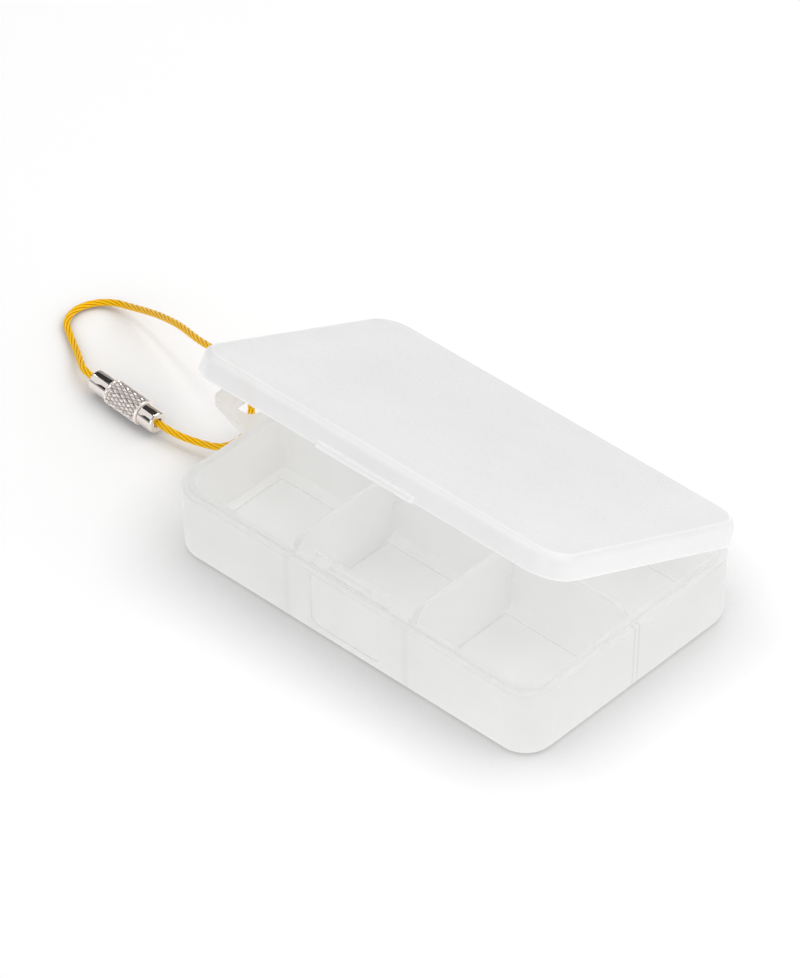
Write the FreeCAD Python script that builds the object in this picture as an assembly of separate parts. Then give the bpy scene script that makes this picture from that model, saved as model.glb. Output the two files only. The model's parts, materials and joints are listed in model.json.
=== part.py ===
"""A pocket box for fishing flies: a drafted tray in six compartments, a hinged snap lid and a wire key loop.

Millimetres, +Z up, -Y is the front with the latch. The origin is on the table under the middle of the tray.
The lid stands ajar, as in the rest pose, and the loop lies on the table beside the left wall.
"""
import FreeCAD, Part
import math
import os

V = FreeCAD.Vector

# Tray
length = 96.0                 # outside, along X, at the rim
depth = 62.2                  # outside, along Y, at the rim
corner_radius = 7.0           # upright corners, seen from above
shoulder_height = 16.1        # ledge that the lid's skirt sits over
wall_draft = 0.4              # how far the outside leans in, from the shoulder to the table
bottom_rounding = 2.0
shoulder_rounding = 0.35
shoulder_width = 1.4          # from the outside to the lip
lip_width = 1.2
lip_rise = 0.6
inner_draft = 0.2             # how much thicker the wall is at its foot
ledge_height = 2.6            # floor beside the walls and under the dividers
floor_recess = 0.4            # each compartment's floor lies this much lower
recess_margin = 0.2           # from the foot of a slope to the recess
wall_foot = 1.1               # run of the slope at the foot of a wall
foot_rise = 1.0               # rise of every such slope

# Dividers
divider_thickness = 1.3
divider_height = 19.1
divider_corner = 3.5          # rounded upper ends
divider_edge = 0.5            # rounding along the top edge
long_foot = 1.8               # run of the slope at the foot of the long divider
cross_spacing = 31.4          # between the two cross dividers
lap_gap = 0.3                 # beside a plate in a half lap
lap_low = 10.2                # bottom of the notches in the long divider
lap_high = 11.6               # top of the slot in a cross divider
groove_depth = 0.6            # upright grooves in the walls that guide the cross dividers
plate_gap = 0.15              # round a cross divider, in its grooves and at the lip

# Latch
tab_width = 19.5
tab_thickness = 0.9
tab_height = 19.8
tab_rounding = 1.2
bead_length = 12.0
bead_height = 18.0
bead_radius = 1.0
bead_proud = 0.3
panel_width = 18.5            # shallow thumb panel on the front wall
panel_low = 3.0
panel_high = 15.3
panel_depth = 0.25
panel_rounding = 2.0

# Lanyard lug on the left wall
lug_reach = 13.0
lug_root = 17.4               # width at the wall
lug_tip = 9.4                 # width at the tip
lug_thickness = 2.4
lug_drop = 0.2                # its top lies this far below the shoulder
lug_root_rounding = 3.0
lug_tip_rounding = 2.2
lug_edge = 0.4
slot_near = 2.2               # from the wall to the slot
slot_width = 6.0
slot_length = 9.0
slot_rounding = 2.4

# Lid
lid_gap = 0.1                 # between the skirt and the shoulder
lid_height = 5.0
lid_draft = 0.3
lid_rounding = 1.8
skirt_thickness = 1.2
lid_thickness = 1.1
lid_inner_rounding = 0.7
finger_width = 25.4           # finger lip on the front of the skirt
finger_reach = 1.0
finger_thickness = 1.1
finger_rounding = 0.8
catch_length = 14.0           # shallow groove that takes the tab's bead
catch_height = 2.0
catch_depth = 0.25
lid_open = 24.2               # degrees

# Hinge
hinge_back = 2.3              # the pin's axis behind the back wall
hinge_height = 15.9
knuckle_radius = 1.9
knuckle_web = 3.6             # how far the webs reach along the walls
web_touch = 78.0              # degrees round the knuckle to where a web's slope meets it
web_clearance = 0.7           # from the axis to where a web starts, up or down
end_knuckle = 8.0
lid_knuckle = 20.0
middle_knuckle = 16.0
knuckle_gap = 0.3
pin_radius = 0.75
pin_fit = 0.03

# Wire loop and its screw connector
cable_diameter = 1.5
barrel_radius = 2.35
sleeve_radius = 2.8
sleeve_lift = 0.1             # the sleeve's lowest line above the table
swivel_barrel = 5.1
stud_barrel = 4.2
barrel_rounding = 0.4
sleeve_rounding = 0.3
neck_radius = 1.5
neck_length = 1.4
head_radius = 2.0
head_length = 1.2
stud_radius = 1.6
stud_length = 4.4
running_gap = 0.08            # round the neck, the head and the stud
end_gap = 0.15                # between the sleeve and the barrels

# The connector's ends and the cable's route, from the foot of the left wall at mid-depth
connector_swivel_end = (-44.9, -6.2)
connector_stud_end = (-25.7, -7.6)
cable_route = [
    (-21.6, -7.8, 2.8), (-15.4, -6.5, 2.9), (-9.2, -5.9, 4.6), (-4.2, -4.3, 9.4), (-4.0, -2.1, 16.4),
    (-8.9, -0.1, 21.4), (-16.5, 0.9, 21.6), (-25.2, 3.8, 18.2), (-34.2, 7.9, 14.6), (-43.2, 11.3, 10.2),
    (-50.6, 13.8, 6.2), (-56.6, 15.4, 3.0), (-61.2, 15.7, 1.5), (-64.9, 13.1, 0.95), (-66.3, 8.7, 0.9),
    (-64.8, 4.6, 0.9), (-60.6, 1.9, 0.95), (-55.8, -1.0, 1.3), (-51.9, -3.7, 2.2), (-48.9, -5.8, 2.85),
]

# Places that follow from the sizes above
wall = shoulder_width + lip_width
lip_top = shoulder_height + lip_rise
ledge_to_divider = divider_thickness / 2 + long_foot
hinge_y = depth / 2 + hinge_back
lid_base = shoulder_height + lid_gap
lid_top = lid_base + lid_height
left_wall = -length / 2
front_wall = -depth / 2
connector_height = sleeve_radius + sleeve_lift
cross_places = (-cross_spacing / 2, cross_spacing / 2)
overlap = 0.6                 # how far a piece reaches into what it is moulded with
beyond = 5.0                  # how far a cutter runs past what it cuts


def outline(corners, place):
    """A closed wire through corners (u, v, rounding), each rounded by a tangent arc, set in space by place."""
    edges = []
    tangents = []
    count = len(corners)
    for i, (u, v, rounding) in enumerate(corners):
        before = V(corners[i - 1][0] - u, corners[i - 1][1] - v, 0).normalize()
        after = V(corners[(i + 1) % count][0] - u, corners[(i + 1) % count][1] - v, 0).normalize()
        at = V(u, v, 0)
        if rounding == 0:
            tangents.append((at, at, at))
            continue
        half = before.getAngle(after) / 2
        inward = (before + after).normalize()
        reach = rounding / math.tan(half)
        middle = at + inward * (rounding / math.sin(half) - rounding)
        tangents.append((at + before * reach, middle, at + after * reach))
    for i, (start, middle, end) in enumerate(tangents):
        next_start = tangents[(i + 1) % count][0]
        if (end - start).Length > 1e-6:
            edges.append(Part.Arc(place(start), place(middle), place(end)).toShape())
        if (next_start - end).Length > 1e-6:
            edges.append(Part.LineSegment(place(end), place(next_start)).toShape())
    return Part.Wire(edges)


def level(z):
    return lambda p: V(p.x, p.y, z)


def facing_x(x):
    return lambda p: V(x, p.x, p.y)


def facing_y(y):
    return lambda p: V(p.x, y, p.y)


def prism(corners, place, along):
    return Part.Face(outline(corners, place)).extrude(along)


def tray_outline(inset, z):
    """The tray's plan, drawn in by inset, at height z."""
    half_x = length / 2 - inset
    half_y = depth / 2 - inset
    rounding = corner_radius - inset
    corners = [(-half_x, -half_y, rounding), (half_x, -half_y, rounding),
               (half_x, half_y, rounding), (-half_x, half_y, rounding)]
    return outline(corners, level(z))


def tapered(inset_low, low, inset_high, high):
    """A solid between two tray outlines."""
    return Part.makeLoft([tray_outline(inset_low, low), tray_outline(inset_high, high)], True, True)


def slab(low, high):
    """A box between two opposite corners."""
    size = high - low
    return Part.makeBox(size.x, size.y, size.z, low)


def edges_at(shape, z):
    """The edges of shape that lie wholly at height z."""
    return [e for e in shape.Edges if abs(e.BoundBox.ZMin - z) < 1e-4 and abs(e.BoundBox.ZMax - z) < 1e-4]


def plate_section(top, across):
    """A thin plate's cross section with a rounded top edge, as a long prism along across."""
    half = divider_thickness / 2
    corners = [(-half, -beyond, 0), (half, -beyond, 0), (half, top, divider_edge), (-half, top, divider_edge)]
    if across == "x":
        return prism(corners, facing_x(-length), V(2 * length, 0, 0))
    return prism(corners, facing_y(-depth), V(0, 2 * depth, 0))


def cross_bar(x, half_width, low, high):
    """A bar across the tray, front to back, used for grooves and notches."""
    return slab(V(x - half_width, -depth, low), V(x + half_width, depth, high))


def hinge_profile(x, size, upwards):
    """One knuckle with its web, which reaches up the lid's skirt or down the tray's wall."""
    sign = 1 if upwards else -1
    inside = depth / 2 - overlap
    near = hinge_height + sign * web_clearance
    far = hinge_height + sign * knuckle_web
    turn = math.radians(web_touch)
    touch = (hinge_y + knuckle_radius * math.cos(turn), hinge_height + sign * knuckle_radius * math.sin(turn))
    web = prism([(inside, near, 0), (inside, far, 0), (touch[0], touch[1], 0), (hinge_y, hinge_height, 0),
                 (hinge_y - knuckle_radius / 2, near, 0)], facing_x(x), V(size, 0, 0))
    barrel = Part.makeCylinder(knuckle_radius, size, V(x, hinge_y, hinge_height), V(1, 0, 0))
    return barrel.fuse(web).removeSplitter()


def knuckle_rows():
    """Start and size of each knuckle along X: the tray's, then the lid's."""
    ends = middle_knuckle / 2 + lid_knuckle
    tray_row = [(-ends - end_knuckle, end_knuckle), (-middle_knuckle / 2, middle_knuckle), (ends, end_knuckle)]
    lid_size = lid_knuckle - 2 * knuckle_gap
    lid_row = [(-ends + knuckle_gap, lid_size), (middle_knuckle / 2 + knuckle_gap, lid_size)]
    return tray_row, lid_row


def pin_length():
    return middle_knuckle + 2 * (lid_knuckle + end_knuckle)


def pin_bore():
    size = pin_length() + 2 * beyond
    return Part.makeCylinder(pin_radius + pin_fit, size, V(-size / 2, hinge_y, hinge_height), V(1, 0, 0))


def make_lug():
    """The tapered lanyard lug with its slot, on the left wall."""
    top = shoulder_height - lug_drop
    tip = left_wall - lug_reach
    flare = lug_root / 2 + lug_root_rounding
    corners = [(left_wall + wall / 2, -flare, 0), (left_wall + wall / 2, flare, 0), (left_wall, flare, 0),
               (left_wall, lug_root / 2, lug_root_rounding), (tip, lug_tip / 2, lug_tip_rounding),
               (tip, -lug_tip / 2, lug_tip_rounding), (left_wall, -lug_root / 2, lug_root_rounding),
               (left_wall, -flare, 0)]
    lug = prism(corners, level(top - lug_thickness), V(0, 0, lug_thickness))
    outer = [e for e in lug.Edges if e.BoundBox.XMax < left_wall - lug_edge and e.BoundBox.ZLength < 1e-4]
    lug = lug.makeFillet(lug_edge, outer)
    near = left_wall - slot_near
    far = near - slot_width
    slot = [(near, -slot_length / 2, slot_rounding), (near, slot_length / 2, slot_rounding),
            (far, slot_length / 2, slot_rounding), (far, -slot_length / 2, slot_rounding)]
    return lug.cut(prism(slot, level(0), V(0, 0, shoulder_height + beyond)))


def make_tab():
    """The springy latch tab on the front lip, with the bead that the lid snaps over."""
    back = front_wall + wall
    half = tab_width / 2
    low = shoulder_height - overlap
    corners = [(-half, low, 0), (half, low, 0), (half, tab_height, tab_rounding), (-half, tab_height, tab_rounding)]
    tab = prism(corners, facing_y(back - tab_thickness), V(0, tab_thickness, 0))
    centre_y = back - tab_thickness + bead_radius - bead_proud
    straight = bead_length - 2 * bead_radius
    start = V(-straight / 2, centre_y, bead_height)
    bead = Part.makeCylinder(bead_radius, straight, start, V(1, 0, 0))
    for x in (-straight / 2, straight / 2):
        bead = bead.fuse(Part.makeSphere(bead_radius, V(x, centre_y, bead_height)))
    behind = slab(V(-half, back, 0), V(half, back + beyond, tab_height + beyond))
    return tab.fuse(bead.cut(behind)).removeSplitter()


def make_long_divider():
    """The divider along the tray, moulded with it: sloped foot, rounded ends, notches for the cross dividers."""
    inner = length / 2 - wall
    low = ledge_height - overlap
    shoulder = divider_height - divider_corner - overlap
    elevation = [(-inner - overlap, low, 0), (inner + overlap, low, 0), (inner + overlap, shoulder, 0),
                 (inner, shoulder, 0), (inner, divider_height, divider_corner),
                 (-inner, divider_height, divider_corner), (-inner, shoulder, 0), (-inner - overlap, shoulder, 0)]
    side = prism(elevation, facing_y(-depth / 2), V(0, depth, 0))
    plate = plate_section(divider_height, "x").common(side)
    half = divider_thickness / 2
    foot_size = length - 2 * wall
    foot = prism([(-ledge_to_divider, low, 0), (ledge_to_divider, low, 0), (ledge_to_divider, ledge_height, 0),
                  (half, ledge_height + foot_rise, 0), (-half, ledge_height + foot_rise, 0),
                  (-ledge_to_divider, ledge_height, 0)], facing_x(-foot_size / 2), V(foot_size, 0, 0))
    divider = plate.fuse(foot)
    for x in cross_places:
        divider = divider.cut(cross_bar(x, divider_thickness / 2 + lap_gap, lap_low, divider_height + beyond))
    return divider


def make_recesses():
    """The sunk floors of the six compartments."""
    edge = wall + inner_draft + wall_foot + recess_margin
    floor = ledge_height - floor_recess
    sunk = Part.Face(tray_outline(edge, floor)).extrude(V(0, 0, floor_recess + overlap))
    bar = ledge_to_divider + recess_margin
    sunk = sunk.cut(slab(V(-length, -bar, 0), V(length, bar, shoulder_height)))
    for x in cross_places:
        sunk = sunk.cut(cross_bar(x, divider_thickness / 2 + recess_margin, 0, shoulder_height))
    return sunk


def make_thumb_panel():
    """The shallow panel on the front wall, parallel to its draft."""
    half = panel_width / 2
    corners = [(-half, panel_low, panel_rounding), (half, panel_low, panel_rounding), (half, panel_high, 0),
               (-half, panel_high, 0)]
    block = prism(corners, facing_y(front_wall - beyond), V(0, beyond + wall, 0))
    return block.cut(tapered(wall_draft + panel_depth, 0, panel_depth, shoulder_height))


def make_tray():
    body = tapered(wall_draft, 0, 0, shoulder_height)
    body = body.makeFillet(bottom_rounding, edges_at(body, 0))
    body = body.makeFillet(shoulder_rounding, edges_at(body, shoulder_height))
    lip = Part.Face(tray_outline(shoulder_width, ledge_height)).extrude(V(0, 0, lip_top - ledge_height))
    foot_top = ledge_height + foot_rise
    foot_inset = wall + inner_draft
    cavity = tapered(foot_inset + wall_foot, ledge_height, foot_inset, foot_top)
    cavity = cavity.fuse(tapered(foot_inset, foot_top, wall, lip_top))
    tray = body.fuse(lip).cut(cavity)
    tray = tray.cut(make_recesses()).cut(make_thumb_panel())
    tray = tray.fuse([make_long_divider(), make_tab(), make_lug()])
    guide = divider_thickness / 2 + plate_gap
    reach = depth / 2 - wall + groove_depth
    for x in cross_places:
        groove = cross_bar(x, guide, ledge_height, lip_top + beyond)
        middle = slab(V(x - guide, -reach, ledge_height), V(x + guide, reach, lip_top + beyond))
        keep = slab(V(x - guide, -ledge_to_divider, ledge_height), V(x + guide, ledge_to_divider, lip_top + beyond))
        tray = tray.cut(groove.common(middle).cut(keep))
    for x, size in knuckle_rows()[0]:
        tray = tray.fuse(hinge_profile(x, size, False))
    return tray.cut(pin_bore()).removeSplitter()


def make_cross_divider(x):
    """A push-in plate, slotted from below to lap over the long divider."""
    end = depth / 2 - wall - plate_gap
    tongue = depth / 2 - wall + groove_depth - plate_gap
    shoulder = divider_height - divider_corner - overlap
    foot = foot_rise + plate_gap
    slot = divider_thickness / 2 + lap_gap
    flare = ledge_to_divider + lap_gap
    base = ledge_height
    low_end = tongue - groove_depth - wall_foot - inner_draft
    right = [(flare, base, 0), (low_end, base, 0), (tongue, base + foot + groove_depth, 0), (tongue, shoulder, 0),
             (end, shoulder, 0), (end, divider_height, divider_corner)]
    left = [(-y, z, rounding) for y, z, rounding in reversed(right)]
    slot_left = [(-slot, base + foot + lap_gap, 0), (-slot, lap_high, 0)]
    slot_right = [(slot, lap_high, 0), (slot, base + foot + lap_gap, 0)]
    elevation = right + left + slot_left + slot_right
    side = prism(elevation, facing_x(-divider_thickness), V(2 * divider_thickness, 0, 0))
    plate = plate_section(divider_height, "y").common(side)
    plate.translate(V(x, 0, 0))
    return plate


def make_lid():
    shell = tapered(0, lid_base, lid_draft, lid_top)
    shell = shell.makeFillet(lid_rounding, edges_at(shell, lid_top))
    ceiling = lid_top - lid_thickness
    hollow = tapered(skirt_thickness, lid_base, skirt_thickness + lid_draft, ceiling)
    hollow = hollow.makeFillet(lid_inner_rounding, edges_at(hollow, ceiling))
    half = finger_width / 2
    tip = front_wall - finger_reach
    finger = prism([(-half, front_wall + overlap, 0), (-half, tip, finger_rounding), (half, tip, finger_rounding),
                    (half, front_wall + overlap, 0)], level(lid_base), V(0, 0, finger_thickness))
    lid = shell.fuse(finger).cut(hollow)
    catch_back = front_wall + skirt_thickness + lid_draft
    catch_front = front_wall + skirt_thickness - catch_depth
    lid = lid.cut(slab(V(-catch_length / 2, catch_front, bead_height - catch_height / 2),
                       V(catch_length / 2, catch_back, bead_height + catch_height / 2)))
    for x, size in knuckle_rows()[1]:
        lid = lid.fuse(hinge_profile(x, size, True))
    lid = lid.cut(pin_bore()).removeSplitter()
    lid.rotate(V(0, hinge_y, hinge_height), V(-1, 0, 0), lid_open)
    return lid


def make_hinge_pin():
    return Part.makeCylinder(pin_radius, pin_length(), V(-pin_length() / 2, hinge_y, hinge_height), V(1, 0, 0))


def connector_ends():
    """The middles of the connector's two end faces: the swivel's, then the stud's."""
    swivel = V(left_wall + connector_swivel_end[0], connector_swivel_end[1], connector_height)
    stud = V(left_wall + connector_stud_end[0], connector_stud_end[1], connector_height)
    return swivel, stud


def turned(corners):
    """A solid of revolution from corners (along, radius, rounding), set on the connector's axis."""
    swivel, stud = connector_ends()
    profile = Part.Face(outline(corners, lambda p: V(p.x, 0, p.y)))
    solid = profile.revolve(V(0, 0, 0), V(1, 0, 0), 360)
    turn = FreeCAD.Rotation(V(1, 0, 0), stud - swivel)
    solid.Placement = FreeCAD.Placement(swivel, turn)
    return solid


def make_swivel_ferrule():
    neck_end = swivel_barrel + neck_length
    return turned([(0, 0, 0), (0, barrel_radius, barrel_rounding), (swivel_barrel, barrel_radius, 0),
                   (swivel_barrel, neck_radius, 0), (neck_end, neck_radius, 0), (neck_end, head_radius, 0),
                   (neck_end + head_length, head_radius, 0), (neck_end + head_length, 0, 0)])


def make_stud_ferrule():
    swivel, stud = connector_ends()
    total = (stud - swivel).Length
    face = total - stud_barrel
    return turned([(total, 0, 0), (total, barrel_radius, barrel_rounding), (face, barrel_radius, 0),
                   (face, stud_radius, 0), (face - stud_length, stud_radius, 0), (face - stud_length, 0, 0)])


def make_knurled_sleeve():
    """The screw sleeve: captive on the swivel's head at one end, open for the stud at the other."""
    swivel, stud = connector_ends()
    start = swivel_barrel + end_gap
    end = (stud - swivel).Length - stud_barrel - end_gap
    inside = swivel_barrel + neck_length - end_gap
    head_end = swivel_barrel + neck_length + head_length + end_gap
    neck_hole = neck_radius + running_gap
    head_hole = head_radius + running_gap
    stud_hole = stud_radius + running_gap
    return turned([(start, sleeve_radius, sleeve_rounding), (end, sleeve_radius, sleeve_rounding),
                   (end, stud_hole, 0), (head_end, stud_hole, 0), (head_end, head_hole, 0),
                   (inside, head_hole, 0), (inside, neck_hole, 0), (start, neck_hole, 0)])


def make_cable():
    """The wire rope, as a tube along straight runs and tangent arcs from one ferrule to the other."""
    swivel, stud = connector_ends()
    points = [stud] + [V(left_wall + x, y, z) for x, y, z in cable_route] + [swivel]
    edges = []
    radii = []
    start = points[0]
    for before, at, after in zip(points, points[1:], points[2:]):
        back = before - at
        on = after - at
        half = back.getAngle(on) / 2
        reach = 0.45 * min(back.Length, on.Length)
        radius = reach * math.tan(half)
        back.normalize()
        on.normalize()
        inward = (back + on).normalize()
        middle = at + inward * (radius / math.sin(half) - radius)
        edges.append(Part.LineSegment(start, at + back * reach).toShape())
        edges.append(Part.Arc(at + back * reach, middle, at + on * reach).toShape())
        start = at + on * reach
        radii.append(round(radius, 1))
    edges.append(Part.LineSegment(start, points[-1]).toShape())
    path = Part.Wire(edges)
    ring = Part.Wire(Part.makeCircle(cable_diameter / 2, points[0], points[1] - points[0]))
    tube = path.makePipeShell([ring], True, False)
    print("cable radii", radii)
    print("cable length", round(path.Length, 1), "tightest", min(radii))
    section = math.pi * cable_diameter ** 2 / 4
    print("cable volume over section times length", round(tube.Volume / (section * path.Length), 4))
    return tube


def make_parts():
    return {
        "tray": make_tray(),
        "left_divider": make_cross_divider(cross_places[0]),
        "right_divider": make_cross_divider(cross_places[1]),
        "lid": make_lid(),
        "hinge_pin": make_hinge_pin(),
        "wire_cable": make_cable(),
        "swivel_ferrule": make_swivel_ferrule(),
        "stud_ferrule": make_stud_ferrule(),
        "knurled_sleeve": make_knurled_sleeve(),
    }


os.makedirs("parts", exist_ok=True)
for name, shape in make_parts().items():
    print(name, "solids", len(shape.Solids), "valid", shape.isValid(), "volume", round(shape.Volume, 1))
    shape.exportStep(f"parts/{name}.step")
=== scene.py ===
import bpy
import json
import numpy as np
from mathutils import Matrix, Vector


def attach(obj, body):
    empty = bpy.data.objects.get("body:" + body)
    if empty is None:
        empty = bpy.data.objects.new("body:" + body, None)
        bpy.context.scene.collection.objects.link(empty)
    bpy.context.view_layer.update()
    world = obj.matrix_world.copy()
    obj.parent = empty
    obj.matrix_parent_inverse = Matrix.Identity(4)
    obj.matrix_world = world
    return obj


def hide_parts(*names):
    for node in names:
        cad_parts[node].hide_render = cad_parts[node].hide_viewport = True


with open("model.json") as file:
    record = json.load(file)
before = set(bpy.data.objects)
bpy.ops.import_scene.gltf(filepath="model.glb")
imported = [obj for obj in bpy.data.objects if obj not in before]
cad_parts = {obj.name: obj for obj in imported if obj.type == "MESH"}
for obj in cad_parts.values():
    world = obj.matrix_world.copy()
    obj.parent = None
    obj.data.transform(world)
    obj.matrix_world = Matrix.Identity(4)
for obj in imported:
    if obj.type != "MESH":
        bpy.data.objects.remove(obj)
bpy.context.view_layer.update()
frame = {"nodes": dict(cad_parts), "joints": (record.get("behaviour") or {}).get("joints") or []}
nodes = frame["nodes"]
mm = 0.001
print("frame loaded:", len(nodes), "nodes")

# Camera at the photograph's angle; the aim is a point in the tray, lengths in mm
view = {"azimuth": 42.76, "elevation": 40.21, "distance": 1243.98, "focalPx": 6285.65, "imageHeight": 978,
        "aim": (-16.52, 2.62, 12.0), "sensor": 36.0, "clipEnd": 20000.0}


def addObject(name, data):
    thing = bpy.data.objects.new(name, data)
    bpy.context.scene.collection.objects.link(thing)
    return thing


def makeCamera():
    az, el = np.radians([view["azimuth"], view["elevation"]])
    back = Vector((np.sin(az) * np.cos(el), -np.cos(az) * np.cos(el), np.sin(el)))
    right = Vector((np.cos(az), np.sin(az), 0.0))
    up = back.cross(right)
    data = bpy.data.cameras.new("photoCamera")
    data.sensor_width = view["sensor"]
    data.lens = view["focalPx"] / view["imageHeight"] * view["sensor"]
    data.clip_end = view["clipEnd"] * mm
    camera = addObject("photoCamera", data)
    place = (Vector(view["aim"]) + back * view["distance"]) * mm
    camera.matrix_world = Matrix.Translation(place) @ Matrix((right, up, back)).transposed().to_4x4()
    bpy.context.scene.camera = camera


# Small helpers for meshes

def meshObject(name, points, faces, smooth=True):
    mesh = bpy.data.meshes.new(name)
    mesh.from_pydata(np.asarray(points, float).reshape(-1, 3).tolist(), [], [list(f) for f in faces])
    mesh.polygons.foreach_set("use_smooth", np.full(len(mesh.polygons), smooth))
    mesh.update()
    return addObject(name, mesh)


def gridFaces(rows, columns, wrapRows=False, wrapColumns=False):
    # quads of a rows x columns grid of points, closed on itself where asked
    first = np.arange(rows - (not wrapRows)), np.arange(columns - (not wrapColumns))
    i, j = np.meshgrid(*first, indexing="ij")
    i2, j2 = (i + 1) % rows, (j + 1) % columns
    quads = np.stack([i * columns + j, i2 * columns + j, i2 * columns + j2, i * columns + j2], -1)
    return quads.reshape(-1, 4)


def setUv(piece, u, v):
    # one u, v for each point, handed to every corner that uses the point
    mesh = piece.data
    layer = mesh.uv_layers.new(name="surface")
    index = np.zeros(len(mesh.loops), np.int32)
    mesh.loops.foreach_get("vertex_index", index)
    corners = np.stack([u.ravel()[index], v.ravel()[index]], -1)
    layer.data.foreach_set("uv", corners.astype(np.float32).ravel())


def pointValues(piece, name, values):
    # one number for each point, for the material to read
    layer = piece.data.attributes.new(name, "FLOAT", "POINT")
    layer.data.foreach_set("value", np.asarray(values, np.float32).ravel())


def splitEdges(piece, angle):
    split = piece.modifiers.new("edges", "EDGE_SPLIT")
    split.split_angle = np.radians(angle)


def dress(piece, material):
    piece.data.materials.clear()
    piece.data.materials.append(material)


def settle(piece, body, node):
    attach(piece, body)
    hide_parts(node)


# Small helpers for node trees: each takes sockets or plain values

def newMaterial(name):
    material = bpy.data.materials.new(name)
    material.use_nodes = True
    tree = material.node_tree
    return material, tree.nodes, tree.links, tree.nodes["Principled BSDF"]


def addNode(tree, kind, **values):
    node = tree.new(kind)
    for key, value in values.items():
        if hasattr(node, key):
            setattr(node, key, value)
        else:
            node.inputs[key].default_value = value
    return node


def feed(links, socket, value):
    if isinstance(value, bpy.types.NodeSocket):
        links.new(value, socket)
    else:
        socket.default_value = value


def setSockets(shader, **values):
    # constant values on the shader's own sockets, with _ for a space in a socket's name
    for key, value in values.items():
        shader.inputs[key.replace("_", " ")].default_value = value


def grey(tone):
    return (tone, tone, tone, 1.0)


def maths(tree, links, operation, a, b=0.0):
    node = addNode(tree, "ShaderNodeMath", operation=operation)
    feed(links, node.inputs[0], a)
    feed(links, node.inputs[1], b)
    return node.outputs["Value"]


def spread(tree, links, value, low, high, start=0.0, end=1.0):
    # a value that runs from start to end becomes one that runs from low to high
    node = addNode(tree, "ShaderNodeMapRange",
                   **{"From Min": start, "From Max": end, "To Min": low, "To Max": high})
    links.new(value, node.inputs["Value"])
    return node.outputs["Result"]


def mixColours(tree, links, share, first, second):
    node = addNode(tree, "ShaderNodeMix", data_type="RGBA")
    feed(links, node.inputs["Factor"], share)
    feed(links, node.inputs["A"], first)
    feed(links, node.inputs["B"], second)
    return node.outputs["Result"]


def mixShaders(tree, links, share, first, second):
    node = addNode(tree, "ShaderNodeMixShader")
    feed(links, node.inputs["Fac"], share)
    links.new(first, node.inputs[1])
    links.new(second, node.inputs[2])
    return node.outputs["Shader"]


def colourRamp(tree, links, value, stops):
    # stops (position, colour) in order: the ramp's own two ends first, then those between
    node = addNode(tree, "ShaderNodeValToRGB")
    ends = node.color_ramp.elements
    for element, (position, colour) in zip(ends, (stops[0], stops[-1])):
        element.position = position
        element.color = (*colour, 1.0)
    for position, colour in stops[1:-1]:
        ends.new(position).color = (*colour, 1.0)
    links.new(value, node.inputs["Fac"])
    return node.outputs["Color"]


def drawnMarks(tree, links, place, scale, detail):
    # noise stretched into fine lines
    stretch = addNode(tree, "ShaderNodeMapping", Scale=scale)
    noise = addNode(tree, "ShaderNodeTexNoise", Scale=1.0, Detail=detail)
    links.new(place, stretch.inputs["Vector"])
    links.new(stretch.outputs["Vector"], noise.inputs["Vector"])
    return noise.outputs["Fac"]


# Frosted polypropylene: milky, lightly grained, a little see-through. milk is what the eye sees as solid,
# lets is how far lamps shine on into the box, through is the light from behind, coat is weight and roughness
# the edge tone paints a highlight along thin edges; the line tone paints shade lines on the tray and
# highlight lines on the lid
plastics = {
    "tray": {"colour": (0.875, 0.875, 0.869), "haze": 0.012, "rough": 0.32, "milk": 0.55, "lets": 0.8,
             "through": 0.45, "edge": 0.97, "paintedLineTone": 0.76, "coat": (0.4, 0.14)},
    "lid": {"colour": (0.905, 0.905, 0.908), "haze": 0.012, "rough": 0.28, "milk": 0.75, "lets": 0.8,
            "through": 0.3, "edge": 1.0, "paintedLineTone": 0.99, "coat": (0.7, 0.08)},
    "divider": {"colour": (0.882, 0.882, 0.876), "haze": 0.012, "rough": 0.34, "milk": 0.65, "lets": 0.85,
                "through": 0.45, "edge": 0.97, "coat": (0.4, 0.14)},
}
# what the three share: noise scales per metre, edge radius and bump height in mm
frost = {"cloud": {"Scale": 90.0, "Detail": 4.0, "Roughness": 0.6}, "cloudRange": (0.3, 0.7),
         "grain": {"Scale": 2400.0, "Detail": 2.0, "Roughness": 0.5}, "roughSpread": 0.02,
         "edgeRadius": 0.3, "edgeSamples": 4, "edgeTurn": 0.85, "bump": 0.05,
         "bumpHeight": 0.04, "ior": 1.49}
# painted lines where thicker or bent plastic behind the surface would show: shade on the tray, highlight on
# the lid, in mm
paintedLines = {"ribHalf": 0.65, "ribSoft": 0.35, "endWall": 46.8, "crossAt": 15.7, "crossSoft": 1.3,
         "crossShare": 0.35, "sideWall": 29.9, "skirt": 1.5, "skirtSoft": 0.45, "skirtFoot": 16.2,
         "footSoft": 0.5, "half": (48.0, 31.1), "corner": 7.0}
lidHinge = next(joint for joint in frame["joints"] if joint["name"] == "lid_hinge")


def bandAt(tree, links, value, centre, soft):
    # 1 where the value is at the centre, falling to 0 at the soft distance on either side
    off = maths(tree, links, "ABSOLUTE", maths(tree, links, "SUBTRACT", value, centre * mm))
    return spread(tree, links, off, 1.0, 0.0, end=soft * mm)


def splitAxes(tree, links, place):
    axes = addNode(tree, "ShaderNodeSeparateXYZ")
    links.new(place, axes.inputs["Vector"])
    return axes.outputs


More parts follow.
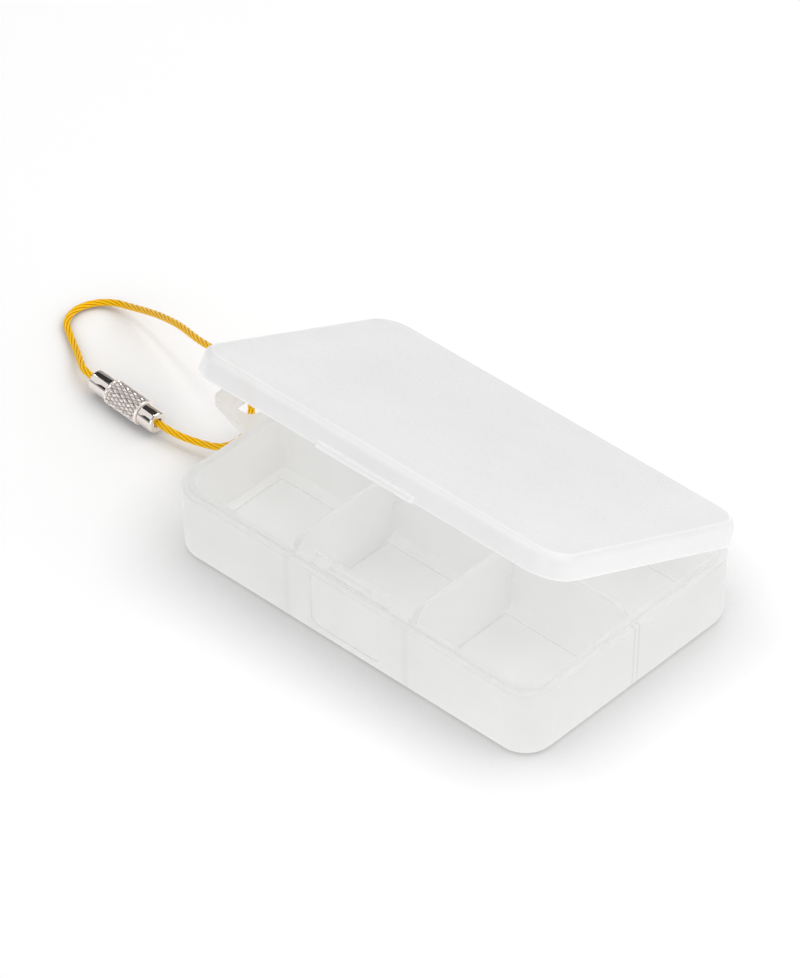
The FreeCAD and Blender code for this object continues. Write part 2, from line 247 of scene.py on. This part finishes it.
def trayPaintedShade(tree, links, place):
    # painted shade: darker lines on the long divider's root on the end walls, and on the cross dividers'
    # grooves on the front and back walls
    axes = splitAxes(tree, links, place)
    x = maths(tree, links, "ABSOLUTE", axes["X"])
    y = maths(tree, links, "ABSOLUTE", axes["Y"])
    onEnd = maths(tree, links, "GREATER_THAN", x, paintedLines["endWall"] * mm)
    onSide = maths(tree, links, "GREATER_THAN", y, paintedLines["sideWall"] * mm)
    root = bandAt(tree, links, y, paintedLines["ribHalf"], paintedLines["ribSoft"])
    root = maths(tree, links, "MULTIPLY", root, onEnd)
    groove = bandAt(tree, links, x, paintedLines["crossAt"], paintedLines["crossSoft"])
    groove = maths(tree, links, "MULTIPLY", groove, onSide)
    groove = maths(tree, links, "MULTIPLY", groove, paintedLines["crossShare"])
    return maths(tree, links, "MAXIMUM", root, groove)


def lidPaintedHighlight(tree, links, place):
    # painted highlight lines, with the lid turned shut, to its hinge's low limit about -X: a pale line at an
    # even distance from its rounded outline, and one along the skirt's foot
    turn = -np.radians(lidHinge["range_deg"][0])
    hinge = np.array(lidHinge["pos_m"])
    turned = np.array([hinge[0], hinge[1] * np.cos(turn) - hinge[2] * np.sin(turn),
                       hinge[1] * np.sin(turn) + hinge[2] * np.cos(turn)])
    shut = addNode(tree, "ShaderNodeMapping", Location=tuple(hinge - turned), Rotation=(turn, 0.0, 0.0))
    links.new(place, shut.inputs["Vector"])
    axes = splitAxes(tree, links, shut.outputs["Vector"])
    square = []
    for axis, half in zip("XY", paintedLines["half"]):
        side = maths(tree, links, "ABSOLUTE", axes[axis])
        side = maths(tree, links, "SUBTRACT", side, (half - paintedLines["corner"]) * mm)
        side = maths(tree, links, "MAXIMUM", side, 0.0)
        square.append(maths(tree, links, "MULTIPLY", side, side))
    reach = maths(tree, links, "SQRT", maths(tree, links, "ADD", *square))
    inside = bandAt(tree, links, reach, paintedLines["corner"] - paintedLines["skirt"], paintedLines["skirtSoft"])
    foot = bandAt(tree, links, axes["Z"], paintedLines["skirtFoot"], paintedLines["footSoft"])
    return maths(tree, links, "MAXIMUM", inside, foot)


def paintedEdgeHighlight(tree, links, colour, rounded, tone):
    # painted highlight at thin edges: paler where the rounded normal leaves the face's own
    face = addNode(tree, "ShaderNodeNewGeometry")
    along = addNode(tree, "ShaderNodeVectorMath", operation="DOT_PRODUCT")
    links.new(face.outputs["Normal"], along.inputs[0])
    links.new(rounded, along.inputs[1])
    edge = spread(tree, links, along.outputs["Value"], 0.0, 1.0, start=1.0, end=frost["edgeTurn"])
    return mixColours(tree, links, edge, colour, grey(tone))


def frostedPlastic(name, look, marks=None):
    material, tree, links, shader = newMaterial(name)
    place = addNode(tree, "ShaderNodeTexCoord").outputs["Object"]
    cloud = addNode(tree, "ShaderNodeTexNoise", **frost["cloud"])
    grain = addNode(tree, "ShaderNodeTexNoise", **frost["grain"])
    links.new(place, cloud.inputs["Vector"])
    links.new(place, grain.inputs["Vector"])
    base = np.array(look["colour"])
    tints = [base - look["haze"], base + look["haze"]]
    colour = colourRamp(tree, links, cloud.outputs["Fac"], list(zip(frost["cloudRange"], tints)))
    # painted lines: darker shade on the tray, paler highlight on the lid
    if marks:
        colour = mixColours(tree, links, marks(tree, links, place), colour, grey(look["paintedLineTone"]))
    # the bevel rounds the normals and marks the edges for the painted highlight
    edgeBevel = addNode(tree, "ShaderNodeBevel", samples=frost["edgeSamples"], Radius=frost["edgeRadius"] * mm)
    rounded = edgeBevel.outputs["Normal"]
    # painted highlight along the edges
    colour = paintedEdgeHighlight(tree, links, colour, rounded, look["edge"])
    rough = spread(tree, links, grain.outputs["Fac"], look["rough"] - frost["roughSpread"],
                   look["rough"] + frost["roughSpread"])
    bump = addNode(tree, "ShaderNodeBump", Strength=frost["bump"], Distance=frost["bumpHeight"] * mm)
    links.new(rounded, bump.inputs["Normal"])
    links.new(grain.outputs["Fac"], bump.inputs["Height"])
    links.new(colour, shader.inputs["Base Color"])
    links.new(rough, shader.inputs["Roughness"])
    links.new(bump.outputs["Normal"], shader.inputs["Normal"])
    links.new(rounded, shader.inputs["Coat Normal"])
    setSockets(shader, IOR=frost["ior"], Alpha=look["milk"], Coat_Weight=look["coat"][0],
               Coat_Roughness=look["coat"][1])
    # light from behind scatters through the milky wall
    behind = addNode(tree, "ShaderNodeBsdfTranslucent")
    links.new(colour, behind.inputs["Color"])
    links.new(rounded, behind.inputs["Normal"])
    wall = mixShaders(tree, links, look["through"], shader.outputs["BSDF"], behind.outputs["BSDF"])
    # and lamps reach on into the box, so shadow rays meet it mostly clear
    path = addNode(tree, "ShaderNodeLightPath")
    clear = addNode(tree, "ShaderNodeBsdfTransparent")
    shadow = maths(tree, links, "MULTIPLY", path.outputs["Is Shadow Ray"], look["lets"])
    whole = mixShaders(tree, links, shadow, wall, clear.outputs["BSDF"])
    links.new(whole, tree["Material Output"].inputs["Surface"])
    return material


# Bright plate, with turning marks round the axis too fine to see one by one. The knurled plate is satin, so
# part of it is a pale diffuse, and painted shade darkens it at the feet of its grooves
plates = {
    "brightNickel": {"tone": (0.84, 0.78, 0.74), "rough": 0.06, "metal": 1.0},
    "knurledNickel": {"tone": (1.0, 0.92, 0.875), "rough": 0.15, "metal": 0.72, "grooveShadeTone": 0.15},
}
turning = {"scale": (900.0, 6.0, 1.0), "detail": 3.0, "roughRange": (0.6, 1.5)}


def platedMetal(name):
    look = plates[name]
    material, tree, links, shader = newMaterial(name)
    place = addNode(tree, "ShaderNodeUVMap", uv_map="surface")
    marks = drawnMarks(tree, links, place.outputs["UV"], turning["scale"], turning["detail"])
    low, high = [look["rough"] * share for share in turning["roughRange"]]
    links.new(spread(tree, links, marks, low, high), shader.inputs["Roughness"])
    setSockets(shader, Base_Color=(*look["tone"], 1.0), Metallic=look["metal"])
    # painted shade at the feet of the knurl's grooves
    if "grooveShadeTone" in look:
        groove = addNode(tree, "ShaderNodeAttribute", attribute_name="groove")
        dark = [look["grooveShadeTone"] * v for v in look["tone"]]
        colour = mixColours(tree, links, groove.outputs["Fac"], (*look["tone"], 1.0), (*dark, 1.0))
        links.new(colour, shader.inputs["Base Color"])
    return material


# The hinge pin's wire, drawn along X
pin = {"tone": (0.6, 0.6, 0.61), "scale": (60.0, 6000.0, 6000.0), "detail": 3.0, "rough": (0.22, 0.42)}


def drawnSteel(name):
    material, tree, links, shader = newMaterial(name)
    place = addNode(tree, "ShaderNodeTexCoord")
    marks = drawnMarks(tree, links, place.outputs["Object"], pin["scale"], pin["detail"])
    links.new(spread(tree, links, marks, *pin["rough"]), shader.inputs["Roughness"])
    setSockets(shader, Base_Color=(*pin["tone"], 1.0), Metallic=1.0)
    return material


# Yellow strands with painted shade: dark in the grooves between them and orange on their flanks, the fine
# wires as a twisted stripe on the strand's UV
strandColourAndShade = {"stops": [(0.5, (0.2, 0.08, 0.0)), (0.66, (1.0, 0.4, 0.0)), (0.86, (1.0, 0.6, 0.002))],
                "wireScale": 2.2, "wireShare": 0.12, "bump": 0.3, "bumpHeight": 0.06, "rough": 0.14,
                "specular": 0.22}


def yellowStrand(name):
    look = strandColourAndShade
    material, tree, links, shader = newMaterial(name)
    place = addNode(tree, "ShaderNodeUVMap", uv_map="surface")
    wires = addNode(tree, "ShaderNodeTexWave", Scale=look["wireScale"], Distortion=0.0,
                    bands_direction="DIAGONAL")
    links.new(place.outputs["UV"], wires.inputs["Vector"])
    # painted shade: the ramp runs from dark where a strand faces in to yellow on its crown
    outward = addNode(tree, "ShaderNodeAttribute", attribute_name="outward")
    ripple = maths(tree, links, "MULTIPLY", wires.outputs["Fac"], look["wireShare"])
    level = maths(tree, links, "ADD", outward.outputs["Fac"], ripple)
    links.new(colourRamp(tree, links, level, look["stops"]), shader.inputs["Base Color"])
    bump = addNode(tree, "ShaderNodeBump", Strength=look["bump"], Distance=look["bumpHeight"] * mm)
    links.new(wires.outputs["Fac"], bump.inputs["Height"])
    links.new(bump.outputs["Normal"], shader.inputs["Normal"])
    setSockets(shader, Roughness=look["rough"], Specular_IOR_Level=look["specular"])
    return material


# Wire rope: the route's points are those of the cable in the solids, from the foot of the left wall, in mm
rope = {"diameter": 1.5, "strands": 6, "strandRadius": 0.258, "layLength": 14.0, "steps": 560, "sides": 14,
        "tuck": 1.2, "leftWall": -48.0, "splineSteps": 24,
        "uvAround": 8.0, "uvPerMm": 3.0,
        "studEnd": (-25.7, -7.6, 2.9), "swivelEnd": (-44.9, -6.2, 2.9), "exit": (-4.1, -2.7, 14.7),
        "route": [(-21.6, -7.8, 2.8), (-15.4, -6.5, 2.9), (-9.2, -5.9, 4.6), (-4.2, -4.3, 9.4),
                  (-4.0, -2.1, 16.4), (-8.9, -0.1, 21.4), (-16.5, 0.9, 21.6), (-25.2, 3.8, 18.2),
                  (-34.2, 7.9, 14.6), (-43.2, 11.3, 10.2), (-50.6, 13.8, 6.2), (-56.6, 15.4, 3.0),
                  (-61.2, 15.7, 1.5), (-64.9, 13.1, 0.95), (-66.3, 8.7, 0.9), (-64.8, 4.6, 0.9),
                  (-60.6, 1.9, 0.95), (-55.8, -1.0, 1.3), (-51.9, -3.7, 2.2), (-48.9, -5.8, 2.85)]}


def fromLeftWall(point):
    return np.array([point[0] + rope["leftWall"], point[1], point[2]]) * mm


def ropeLine():
    # the smooth centreline: a NURBS spline with the route's points as control points, read back as points
    control = [fromLeftWall(p) for p in [rope["studEnd"], *rope["route"], rope["swivelEnd"]]]
    curve = bpy.data.curves.new("ropeRoute", "CURVE")
    curve.dimensions = "3D"
    curve.resolution_u = rope["splineSteps"]
    spline = curve.splines.new("NURBS")
    spline.points.add(len(control) - 1)
    spline.points.foreach_set("co", np.column_stack([control, np.ones(len(control))]).ravel())
    spline.order_u = 3
    spline.use_endpoint_u = True
    holder = addObject("ropeRoute", curve)
    bpy.context.view_layer.update()
    mesh = bpy.data.meshes.new_from_object(holder)
    line = np.zeros(len(mesh.vertices) * 3)
    mesh.vertices.foreach_get("co", line)
    bpy.data.objects.remove(holder)
    bpy.data.meshes.remove(mesh)
    bpy.data.curves.remove(curve)
    return line.reshape(-1, 3)


def unit(vectors):
    return vectors / np.linalg.norm(vectors, axis=-1, keepdims=True)


def evenSteps(line, count):
    # the same line at even steps of length
    gone = np.concatenate([[0.0], np.cumsum(np.linalg.norm(np.diff(line, axis=0), axis=1))])
    at = np.linspace(0.0, gone[-1], count)
    return at, np.stack([np.interp(at, gone, line[:, k]) for k in range(3)], -1)


def carriedFrame(line):
    # tangents, and two normals turned as little as possible from step to step
    tangent = unit(np.gradient(line, axis=0))
    normal = np.zeros_like(tangent)
    normal[0] = unit(np.cross(tangent[0], (0.0, 0.0, 1.0)))
    for i in range(1, len(line)):
        normal[i] = unit(normal[i - 1] - tangent[i] * (normal[i - 1] @ tangent[i]))
    return normal, np.cross(tangent, normal)


def tubeAround(line, lean, radius, sides):
    # a circle of points at every step of the line, square to it, starting on the side it leans to
    tangent = unit(np.gradient(line, axis=0))
    normal = unit(lean - tangent * np.einsum("ij,ij->i", lean, tangent)[:, None])
    other = np.cross(tangent, normal)
    turn = np.linspace(0.0, 2 * np.pi, sides, endpoint=False)
    ring = np.cos(turn)[None, :, None] * normal[:, None] + np.sin(turn)[None, :, None] * other[:, None]
    return line[:, None] + radius * ring


def makeRope():
    # each strand is a tube along a helix about the centreline: turn = 2 pi (length / lay + strand / strands)
    centre = ropeLine()
    length = np.linalg.norm(np.diff(centre, axis=0), axis=1).sum()
    tuck = rope["tuck"] * mm
    line = np.vstack([centre[0] + unit(centre[0] - centre[1]) * tuck, centre,
                      centre[-1] + unit(centre[-1] - centre[-2]) * tuck])
    at, line = evenSteps(line, rope["steps"])
    normal, other = carriedFrame(line)
    rows, columns = rope["steps"], rope["sides"]
    ring = np.arange(columns)
    quads = gridFaces(rows, columns, wrapColumns=True)[:, ::-1]
    caps = np.stack([ring, (rows - 1) * columns + ring[::-1]])
    around = np.linspace(0.0, 1.0, columns, endpoint=False) * rope["uvAround"]
    along = at / mm * rope["uvPerMm"]
    thick = rope["strandRadius"] * mm
    layRadius = rope["diameter"] / 2 * mm - thick
    points, faces, outward = [], [], []
    for strand in range(rope["strands"] + 1):
        core = strand == rope["strands"]
        turn = 2 * np.pi * (at / (rope["layLength"] * mm) + strand / rope["strands"])
        out = np.cos(turn)[:, None] * normal + np.sin(turn)[:, None] * other
        path = line if core else line + layRadius * out
        tube = tubeAround(path, out, thick, columns)
        lean = np.einsum("ijk,ik->ij", tube - path[:, None], out) / thick
        used = strand * rows * columns
        points.append(tube)
        faces += (quads + used).tolist() + (caps + used).tolist()
        # how far each point faces out from the rope's centre, for the painted shade between strands
        outward.append(np.zeros_like(lean) if core else 0.5 + 0.5 * lean)
    piece = meshObject("wireRope", points, faces)
    shape = (rope["strands"] + 1, rows, columns)
    setUv(piece, np.broadcast_to(around, shape), np.broadcast_to(along[:, None], shape))
    pointValues(piece, "outward", outward)
    dress(piece, yellowStrand("yellowStrand"))
    settle(piece, "lanyard", "wire_cable")
    print("rope:", round(length / mm, 1), "mm")
    return piece, centre, length


# Screw connector: profiles (along the axis, radius) in mm, turned about the line between the rope's two ends
connector = {"swivelBarrel": 5.1, "studBarrel": 4.2, "barrelRadius": 2.35, "rounding": 0.45,
             "studRounding": 0.72, "innerRounding": 0.12, "bendSteps": 6, "mouthRadius": 0.95,
             "mouthDepth": 1.6, "mouthBevel": 0.25, "neckRadius": 1.5, "neck": 3.0, "poleRadius": 0.3,
             "sides": 72, "splitAngle": 40}
sleeve = {"radius": 2.8, "endGap": 0.15, "boreGap": 0.1, "knurlCount": 18, "knurlPitch": 2.2,
          "knurlDepth": 0.26, "knurlFlat": 0.15, "knurlRim": 0.45, "rimBare": 0.18, "rimWide": 0.3,
          "rimDrop": 0.3, "footPower": 4, "steps": 132, "sides": 264, "splitAngle": 32}


def onAxis(along, radius, turn):
    # points at a distance along the connector's axis, a radius and a turn about it, all arrays of one shape
    start, end = fromLeftWall(rope["swivelEnd"]), fromLeftWall(rope["studEnd"])
    axis = unit(end - start)
    side = unit(np.cross((0.0, 0.0, 1.0), axis))
    up = np.cross(axis, side)
    ring = np.cos(turn)[..., None] * side + np.sin(turn)[..., None] * up
    return start + along[..., None] * mm * axis + radius[..., None] * mm * ring


def connectorLength():
    return np.linalg.norm(fromLeftWall(rope["studEnd"]) - fromLeftWall(rope["swivelEnd"])) / mm


def roundedProfile(corners):
    # corners (along, radius, rounding): a rounded corner becomes a quadratic bend between its tangent points
    out = []
    for k, (x, r, rounding) in enumerate(corners):
        at = np.array([x, r])
        if rounding == 0:
            out.append(at[None])
            continue
        first = at + unit(np.array(corners[k - 1][:2]) - at) * rounding
        last = at + unit(np.array(corners[k + 1][:2]) - at) * rounding
        t = np.linspace(0.0, 1.0, connector["bendSteps"])[:, None]
        out.append((1 - t) ** 2 * first + 2 * t * (1 - t) * at + t ** 2 * last)
    return np.concatenate(out)


def turnedPiece(name, corners):
    # a profile carried round the axis, its two ends closed by a flat face each
    profile = roundedProfile(corners)
    turn = np.linspace(0.0, 2 * np.pi, connector["sides"], endpoint=False)
    shape = rows, columns = len(profile), len(turn)
    along = np.broadcast_to(profile[:, :1], shape)
    radius = np.broadcast_to(profile[:, 1:], shape)
    around = np.broadcast_to(turn, shape)
    ring = np.arange(columns)
    faces = gridFaces(rows, columns, wrapColumns=True)[:, ::-1].tolist()
    faces += [ring.tolist(), ((rows - 1) * columns + ring[::-1]).tolist()]
    piece = meshObject(name, onAxis(along, radius, around), faces)
    setUv(piece, along, around / (2 * np.pi))
    splitEdges(piece, connector["splitAngle"])
    return piece


def makeFerrules(metal):
    c = connector
    total = connectorLength()
    mouth, bevel, deep, pole = c["mouthRadius"], c["mouthBevel"], c["mouthDepth"], c["poleRadius"]
    barrel, neck, inner = c["barrelRadius"], c["neckRadius"], c["innerRounding"]
    face = c["swivelBarrel"]
    tip = face + c["neck"]
    swivel = [(deep, pole, 0), (deep, mouth, 0), (bevel, mouth, 0), (0.0, mouth + bevel, 0),
              (0.0, barrel, c["rounding"]), (face, barrel, inner), (face, neck, 0), (tip, neck, 0),
              (tip, pole, 0)]
    face = total - c["studBarrel"]
    tip = face - c["neck"]
    stud = [(tip, pole, 0), (tip, neck, 0), (face, neck, 0), (face, barrel, inner),
            (total, barrel, c["studRounding"]), (total, mouth + bevel, 0), (total - bevel, mouth, 0),
            (total - deep, mouth, 0), (total - deep, pole, 0)]
    made = []
    both = (("swivelFerrule", "swivel_ferrule", swivel), ("studFerrule", "stud_ferrule", stud))
    for name, node, corners in both:
        piece = turnedPiece(name, corners)
        dress(piece, metal)
        settle(piece, "lanyard", node)
        made.append(piece)
    print("ferrules made")
    return made


def makeSleeve(metal):
    # knurl: radius = R - depth * the deeper of two crossing V grooves,
    # each a triangle wave of turn +/- length
    s = sleeve
    start = connector["swivelBarrel"] + s["endGap"]
    end = connectorLength() - connector["studBarrel"] - s["endGap"]
    turn = np.linspace(0.0, 2 * np.pi, s["sides"], endpoint=False)
    along, around = np.meshgrid(np.linspace(start, end, s["steps"]), turn, indexing="ij")
    waves = [around * s["knurlCount"] / (2 * np.pi) + sign * along / s["knurlPitch"] for sign in (1, -1)]
    groove = np.maximum(*[2 * np.abs(w - np.floor(w) - 0.5) for w in waves])
    fromEnd = np.minimum(along - start, end - along)
    knurled = np.clip((fromEnd - s["rimBare"]) / s["knurlRim"], 0.0, 1.0)
    cut = np.clip((groove - s["knurlFlat"]) / (1.0 - s["knurlFlat"]), 0.0, 1.0) * knurled
    rim = np.clip(1.0 - fromEnd / s["rimWide"], 0.0, 1.0)
    radius = s["radius"] - s["knurlDepth"] * cut - s["rimDrop"] * rim ** 2
    # end faces: the outer grid goes on inwards to the bore and back through it
    endRows = ((1, 1), (0, 0))
    along = np.pad(along, endRows, mode="edge")
    around = np.pad(around, endRows, mode="edge")
    radius = np.pad(radius, endRows, constant_values=connector["neckRadius"] + s["boreGap"])
    faces = gridFaces(*along.shape, wrapRows=True, wrapColumns=True)[:, ::-1]
    piece = meshObject("knurledSleeve", onAxis(along, radius, around), faces)
    setUv(piece, along, around / (2 * np.pi))
    # the knurl's groove feet, for the painted shade in the plate's material
    pointValues(piece, "groove", np.pad(cut ** s["footPower"], endRows))
    splitEdges(piece, s["splitAngle"])
    dress(piece, metal)
    settle(piece, "sleeve", "knurled_sleeve")
    print("sleeve made")
    return piece


# Studio, in metres and watts: a pale floor, an even sky, four broad soft lamps, a strip lamp, two dark cards
studio = {"floorHalf": 4.0, "floorDrop": 0.00002, "floorColour": 0.9, "floorRough": 0.9, "floorWhite": 0.1,
          "shadeReach": 0.02, "shadeSamples": 8, "shadeShare": 0.7, "shadeThrough": 0.15, "sky": 0.4,
          "lampSize": 0.9,
          "lamps": {"front": ((0.35, -0.95, 0.22), 3.1), "back": ((0.25, 0.45, 0.9), 4.7),
                    "left": ((-0.6, -0.5, 0.6), 1.3), "right": ((0.9, 0.15, 0.5), 2.8)},
          "strip": {"place": (-0.6, 0.0, 1.0), "long": 0.7, "wide": 0.07, "watts": 1.6},
          "cardTone": 0.01, "cardsFrom": (-0.083, -0.007, 0.003), "cardDistance": 0.5,
          "cards": {"high": ((-0.52, 0.33, 0.78), 0.40), "low": ((-0.52, -0.77, 0.36), 0.17)}}
squareCorners = np.array([(-1.0, -1.0, 0.0), (1.0, -1.0, 0.0), (1.0, 1.0, 0.0), (-1.0, 1.0, 0.0)])
squareFace = [[0, 1, 2, 3]]


def makeFloor():
    points = squareCorners * studio["floorHalf"] - (0.0, 0.0, studio["floorDrop"])
    floor = meshObject("floor", points, squareFace, smooth=False)
    material, tree, links, shader = newMaterial("paleFloor")
    setSockets(shader, Roughness=studio["floorRough"], Specular_IOR_Level=0.0)
    path = addNode(tree, "ShaderNodeLightPath")
    # a soft shade close to what stands on the floor, fainter where the floor is seen through plastic
    pale = grey(studio["floorColour"])
    near = addNode(tree, "ShaderNodeAmbientOcclusion", samples=studio["shadeSamples"],
                   Distance=studio["shadeReach"], Color=pale)
    straight = maths(tree, links, "LESS_THAN", path.outputs["Transparent Depth"], 0.5)
    straight = maths(tree, links, "MULTIPLY", straight, path.outputs["Is Camera Ray"])
    share = spread(tree, links, straight, studio["shadeThrough"], studio["shadeShare"])
    links.new(mixColours(tree, links, share, pale, near.outputs["Color"]), shader.inputs["Base Color"])
    # a little white of its own for the eye and for reflections
    seen = maths(tree, links, "MAXIMUM", path.outputs["Is Camera Ray"], path.outputs["Is Glossy Ray"])
    seen = maths(tree, links, "MAXIMUM", seen, path.outputs["Is Transmission Ray"])
    white = addNode(tree, "ShaderNodeEmission")
    links.new(maths(tree, links, "MULTIPLY", seen, studio["floorWhite"]), white.inputs["Strength"])
    both = addNode(tree, "ShaderNodeAddShader")
    links.new(shader.outputs["BSDF"], both.inputs[0])
    links.new(white.outputs["Emission"], both.inputs[1])
    links.new(both.outputs["Shader"], tree["Material Output"].inputs["Surface"])
    dress(floor, material)


def makeSky():
    world = bpy.data.worlds.new("studioSky")
    bpy.context.scene.world = world
    world.use_nodes = True
    tree, links = world.node_tree.nodes, world.node_tree.links
    path = addNode(tree, "ShaderNodeLightPath")
    strength = spread(tree, links, path.outputs["Is Camera Ray"], studio["sky"], 1.0)
    links.new(strength, tree["Background"].inputs["Strength"])
    tree["Background"].inputs["Color"].default_value = grey(1.0)


def makeLamps():
    for name, (place, watts) in studio["lamps"].items():
        data = bpy.data.lights.new(name + "Lamp", "AREA")
        data.size = studio["lampSize"]
        data.energy = watts
        place = Vector(place)
        lamp = addObject(name + "Lamp", data)
        lamp.matrix_world = Matrix.Translation(place) @ place.to_track_quat("Z", "Y").to_matrix().to_4x4()


def makeStrip():
    # a narrow lamp overhead on the left, for the bright lines along the plastic's edges
    strip = studio["strip"]
    data = bpy.data.lights.new("stripLamp", "AREA")
    data.shape = "RECTANGLE"
    data.size = strip["long"]
    data.size_y = strip["wide"]
    data.energy = strip["watts"]
    place = Vector(strip["place"])
    back = place.normalized()
    side = Vector((0.0, 1.0, 0.0)).cross(back).normalized()
    turn = Matrix((side, back.cross(side), back)).transposed().to_4x4()
    addObject("stripLamp", data).matrix_world = Matrix.Translation(place) @ turn


def makeCards():
    # dark cards out of view, seen only in reflections, so that bright metal has something to mirror
    material, _, _, shader = newMaterial("cardBlack")
    setSockets(shader, Base_Color=grey(studio["cardTone"]))
    for name, (direction, size) in studio["cards"].items():
        away = Vector(direction).normalized()
        place = Vector(studio["cardsFrom"]) + away * studio["cardDistance"]
        turn = np.array(away.to_track_quat("Z", "Y").to_matrix())
        points = np.array(place) + squareCorners * (size / 2) @ turn.T
        card = meshObject(name + "Card", points, squareFace, smooth=False)
        dress(card, material)
        card.visible_camera = False
        card.visible_diffuse = False
        card.visible_shadow = False
        card.visible_transmission = False


bpy.context.scene.view_settings.view_transform = "Standard"
makeCamera()
ropePiece, ropeCentre, ropeSize = makeRope()
ferrules = makeFerrules(platedMetal("brightNickel"))
sleevePiece = makeSleeve(platedMetal("knurledNickel"))

dress(nodes["tray"], frostedPlastic("trayPlastic", plastics["tray"], trayPaintedShade))
dress(nodes["lid"], frostedPlastic("lidPlastic", plastics["lid"], lidPaintedHighlight))
dividerPlastic = frostedPlastic("dividerPlastic", plastics["divider"])
for name in ("left_divider", "right_divider"):
    dress(nodes[name], dividerPlastic)
dress(nodes["hinge_pin"], drawnSteel("pinSteel"))
print("finishes set")

makeFloor()
makeSky()
makeLamps()
makeStrip()
makeCards()
print("studio set")
